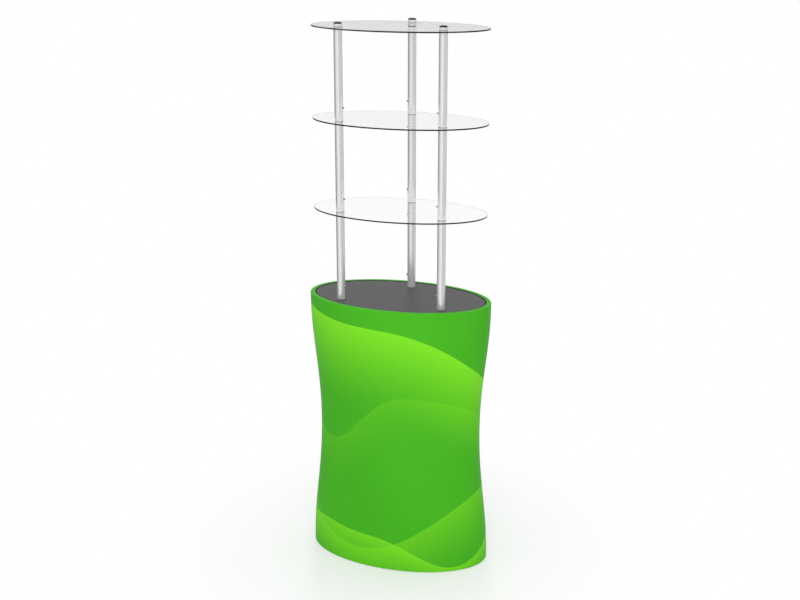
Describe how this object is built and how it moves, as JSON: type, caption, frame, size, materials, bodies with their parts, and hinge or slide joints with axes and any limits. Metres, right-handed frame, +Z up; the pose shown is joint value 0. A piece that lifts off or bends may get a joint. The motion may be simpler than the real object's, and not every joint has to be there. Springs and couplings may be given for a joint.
{
  "type": "oval display tower",
  "caption": "Free-standing display: a waisted oval fabric base with a flat top, and clear oval shelves on tubular posts above it.",
  "frame": {"origin": "on the floor, at the middle of the oval base", "axes": "+Z up, the long axis of the oval along X, the two front posts on the -Y side"},
  "size_m": [0.6829, 0.4039, 1.9881],
  "materials": {
    "stretch_fabric": "printed stretch polyester knit, matt",
    "hook_tape": "woven hook tape",
    "frame_aluminium": "mill finish",
    "post_aluminium": "satin anodised",
    "steel_hardware": "zinc plated",
    "spring_steel": "blued spring steel",
    "countertop_laminate": "dark grey textured laminate on board",
    "clear_sheet": "clear, polished edges",
    "rubber_ring": "dark, matt",
    "black_plastic": "moulded, fine texture",
    "button_metal": "plated, slightly blue"
  },
  "bodies": {
    "tower": {"fabric_sleeve": "stretch_fabric", "hook_tape_top": "hook_tape", "hook_tape_bottom": "hook_tape", "top_hoop_front": "frame_aluminium", "top_hoop_rear": "frame_aluminium", "bottom_hoop_front": "frame_aluminium", "bottom_hoop_rear": "frame_aluminium", "hoop_splices": "frame_aluminium", "hoop_splice_screws": "steel_hardware", "top_rail_left": "frame_aluminium", "top_rail_middle": "frame_aluminium", "top_rail_right": "frame_aluminium", "bottom_rail_left": "frame_aluminium", "bottom_rail_right": "frame_aluminium", "rail_screws": "steel_hardware", "upright_front_left": "frame_aluminium", "upright_front_right": "frame_aluminium", "upright_rear_left": "frame_aluminium", "upright_rear_right": "frame_aluminium", "upright_spigots": "frame_aluminium", "spigot_bolts": "steel_hardware", "tie_studs": "steel_hardware", "glide_feet": "black_plastic", "countertop": "countertop_laminate", "countertop_screws": "steel_hardware", "lower_shelf": "clear_sheet", "middle_shelf": "clear_sheet", "upper_shelf": "clear_sheet", "lower_couplers": "frame_aluminium", "middle_couplers": "frame_aluminium", "upper_couplers": "frame_aluminium", "post_washers": "rubber_ring", "post_collars": "post_aluminium", "button_springs": "spring_steel", "base_spigot_left": "frame_aluminium", "end_cap_left": "black_plastic", "post_left_lower": "post_aluminium", "post_left_middle": "post_aluminium", "post_left_upper": "post_aluminium", "base_spigot_right": "frame_aluminium", "end_cap_right": "black_plastic", "post_right_lower": "post_aluminium", "post_right_middle": "post_aluminium", "post_right_upper": "post_aluminium", "base_spigot_rear": "frame_aluminium", "end_cap_rear": "black_plastic", "post_rear_lower": "post_aluminium", "post_rear_middle": "post_aluminium", "post_rear_upper": "post_aluminium"},
    "snap_button_left_lower": {"snap_button_left_lower": "button_metal"},
    "snap_button_left_middle": {"snap_button_left_middle": "button_metal"},
    "snap_button_left_upper": {"snap_button_left_upper": "button_metal"},
    "snap_button_right_lower": {"snap_button_right_lower": "button_metal"},
    "snap_button_right_middle": {"snap_button_right_middle": "button_metal"},
    "snap_button_right_upper": {"snap_button_right_upper": "button_metal"},
    "snap_button_rear_lower": {"snap_button_rear_lower": "button_metal"},
    "snap_button_rear_middle": {"snap_button_rear_middle": "button_metal"},
    "snap_button_rear_upper": {"snap_button_rear_upper": "button_metal"}
  },
  "joints": [
    {"name": "press_left_lower", "type": "slide", "parent": "tower", "child": "snap_button_left_lower", "axis": [-1, 0, 0], "range_m": [0, 0.0065], "stiffness_N_per_m": 1500, "springref_m": -0.003, "deforming": ["button_springs"]},
    {"name": "press_left_middle", "type": "slide", "parent": "tower", "child": "snap_button_left_middle", "axis": [-1, 0, 0], "range_m": [0, 0.0065], "stiffness_N_per_m": 1500, "springref_m": -0.003, "deforming": ["button_springs"]},
    {"name": "press_left_upper", "type": "slide", "parent": "tower", "child": "snap_button_left_upper", "axis": [-1, 0, 0], "range_m": [0, 0.0065], "stiffness_N_per_m": 1500, "springref_m": -0.003, "deforming": ["button_springs"]},
    {"name": "press_right_lower", "type": "slide", "parent": "tower", "child": "snap_button_right_lower", "axis": [1, 0, 0], "range_m": [0, 0.0065], "stiffness_N_per_m": 1500, "springref_m": -0.003, "deforming": ["button_springs"]},
    {"name": "press_right_middle", "type": "slide", "parent": "tower", "child": "snap_button_right_middle", "axis": [1, 0, 0], "range_m": [0, 0.0065], "stiffness_N_per_m": 1500, "springref_m": -0.003, "deforming": ["button_springs"]},
    {"name": "press_right_upper", "type": "slide", "parent": "tower", "child": "snap_button_right_upper", "axis": [1, 0, 0], "range_m": [0, 0.0065], "stiffness_N_per_m": 1500, "springref_m": -0.003, "deforming": ["button_springs"]},
    {"name": "press_rear_lower", "type": "slide", "parent": "tower", "child": "snap_button_rear_lower", "axis": [1, 0, 0], "range_m": [0, 0.0065], "stiffness_N_per_m": 1500, "springref_m": -0.003, "deforming": ["button_springs"]},
    {"name": "press_rear_middle", "type": "slide", "parent": "tower", "child": "snap_button_rear_middle", "axis": [1, 0, 0], "range_m": [0, 0.0065], "stiffness_N_per_m": 1500, "springref_m": -0.003, "deforming": ["button_springs"]},
    {"name": "press_rear_upper", "type": "slide", "parent": "tower", "child": "snap_button_rear_upper", "axis": [1, 0, 0], "range_m": [0, 0.0065], "stiffness_N_per_m": 1500, "springref_m": -0.003, "deforming": ["button_springs"]}
  ]
}
